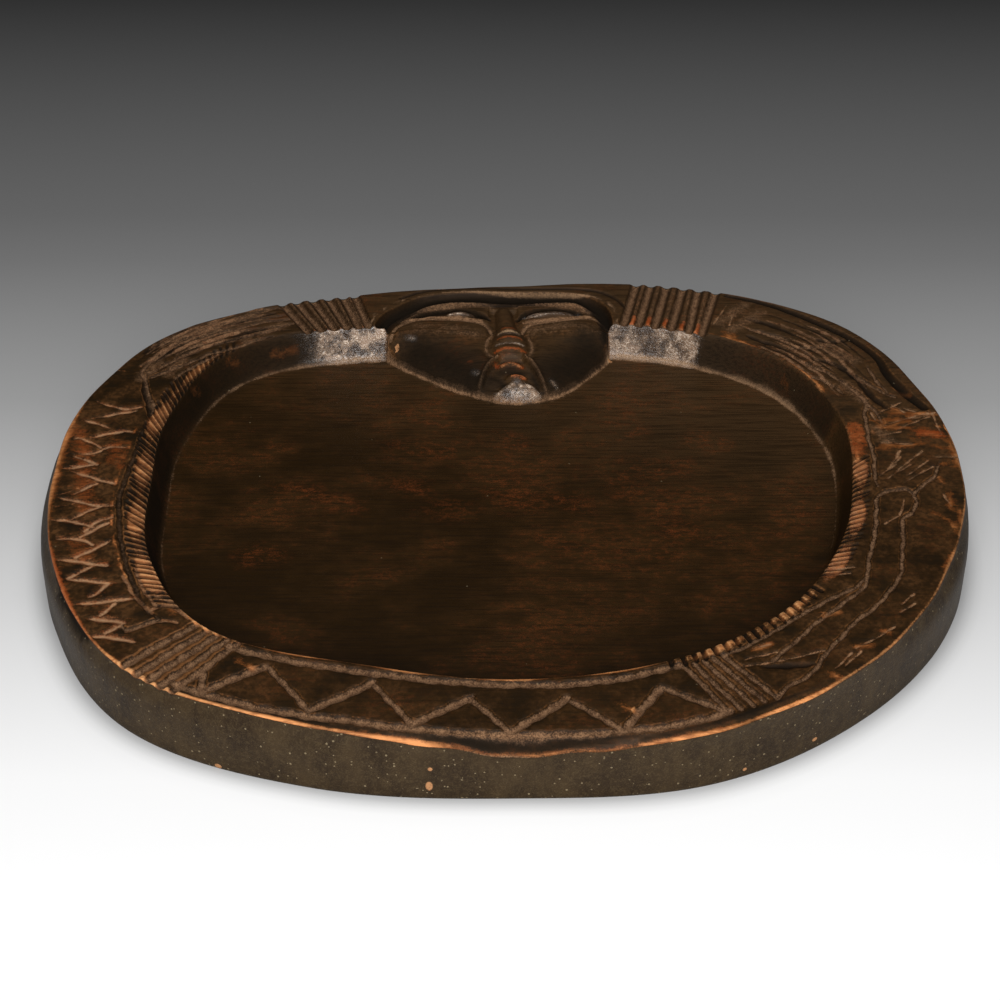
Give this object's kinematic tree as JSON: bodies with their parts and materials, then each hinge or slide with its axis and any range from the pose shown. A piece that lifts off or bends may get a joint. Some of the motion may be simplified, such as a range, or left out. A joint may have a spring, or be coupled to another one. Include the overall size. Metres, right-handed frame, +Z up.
{
  "type": "carved wooden divination board",
  "caption": "Rounded oval wooden divination board with a smooth sunk field, a carved raised border and a stylised mask at its far side.",
  "frame": {"origin": "middle of the board's box, on the flat underside that it rests on", "axes": "+X along the board's length, to the right of someone who has the mask at the far side; +Y towards the mask; +Z up, out of the carved face"},
  "size_m": [0.4286, 0.3494, 0.034],
  "materials": {
    "aged_wood": "old hand-carved hardwood, dark and polished by use, worn orange-brown on the edges, with pale dust in the grooves"
  },
  "bodies": {
    "root": {"carved_board": "aged_wood"}
  },
  "joints": []
}
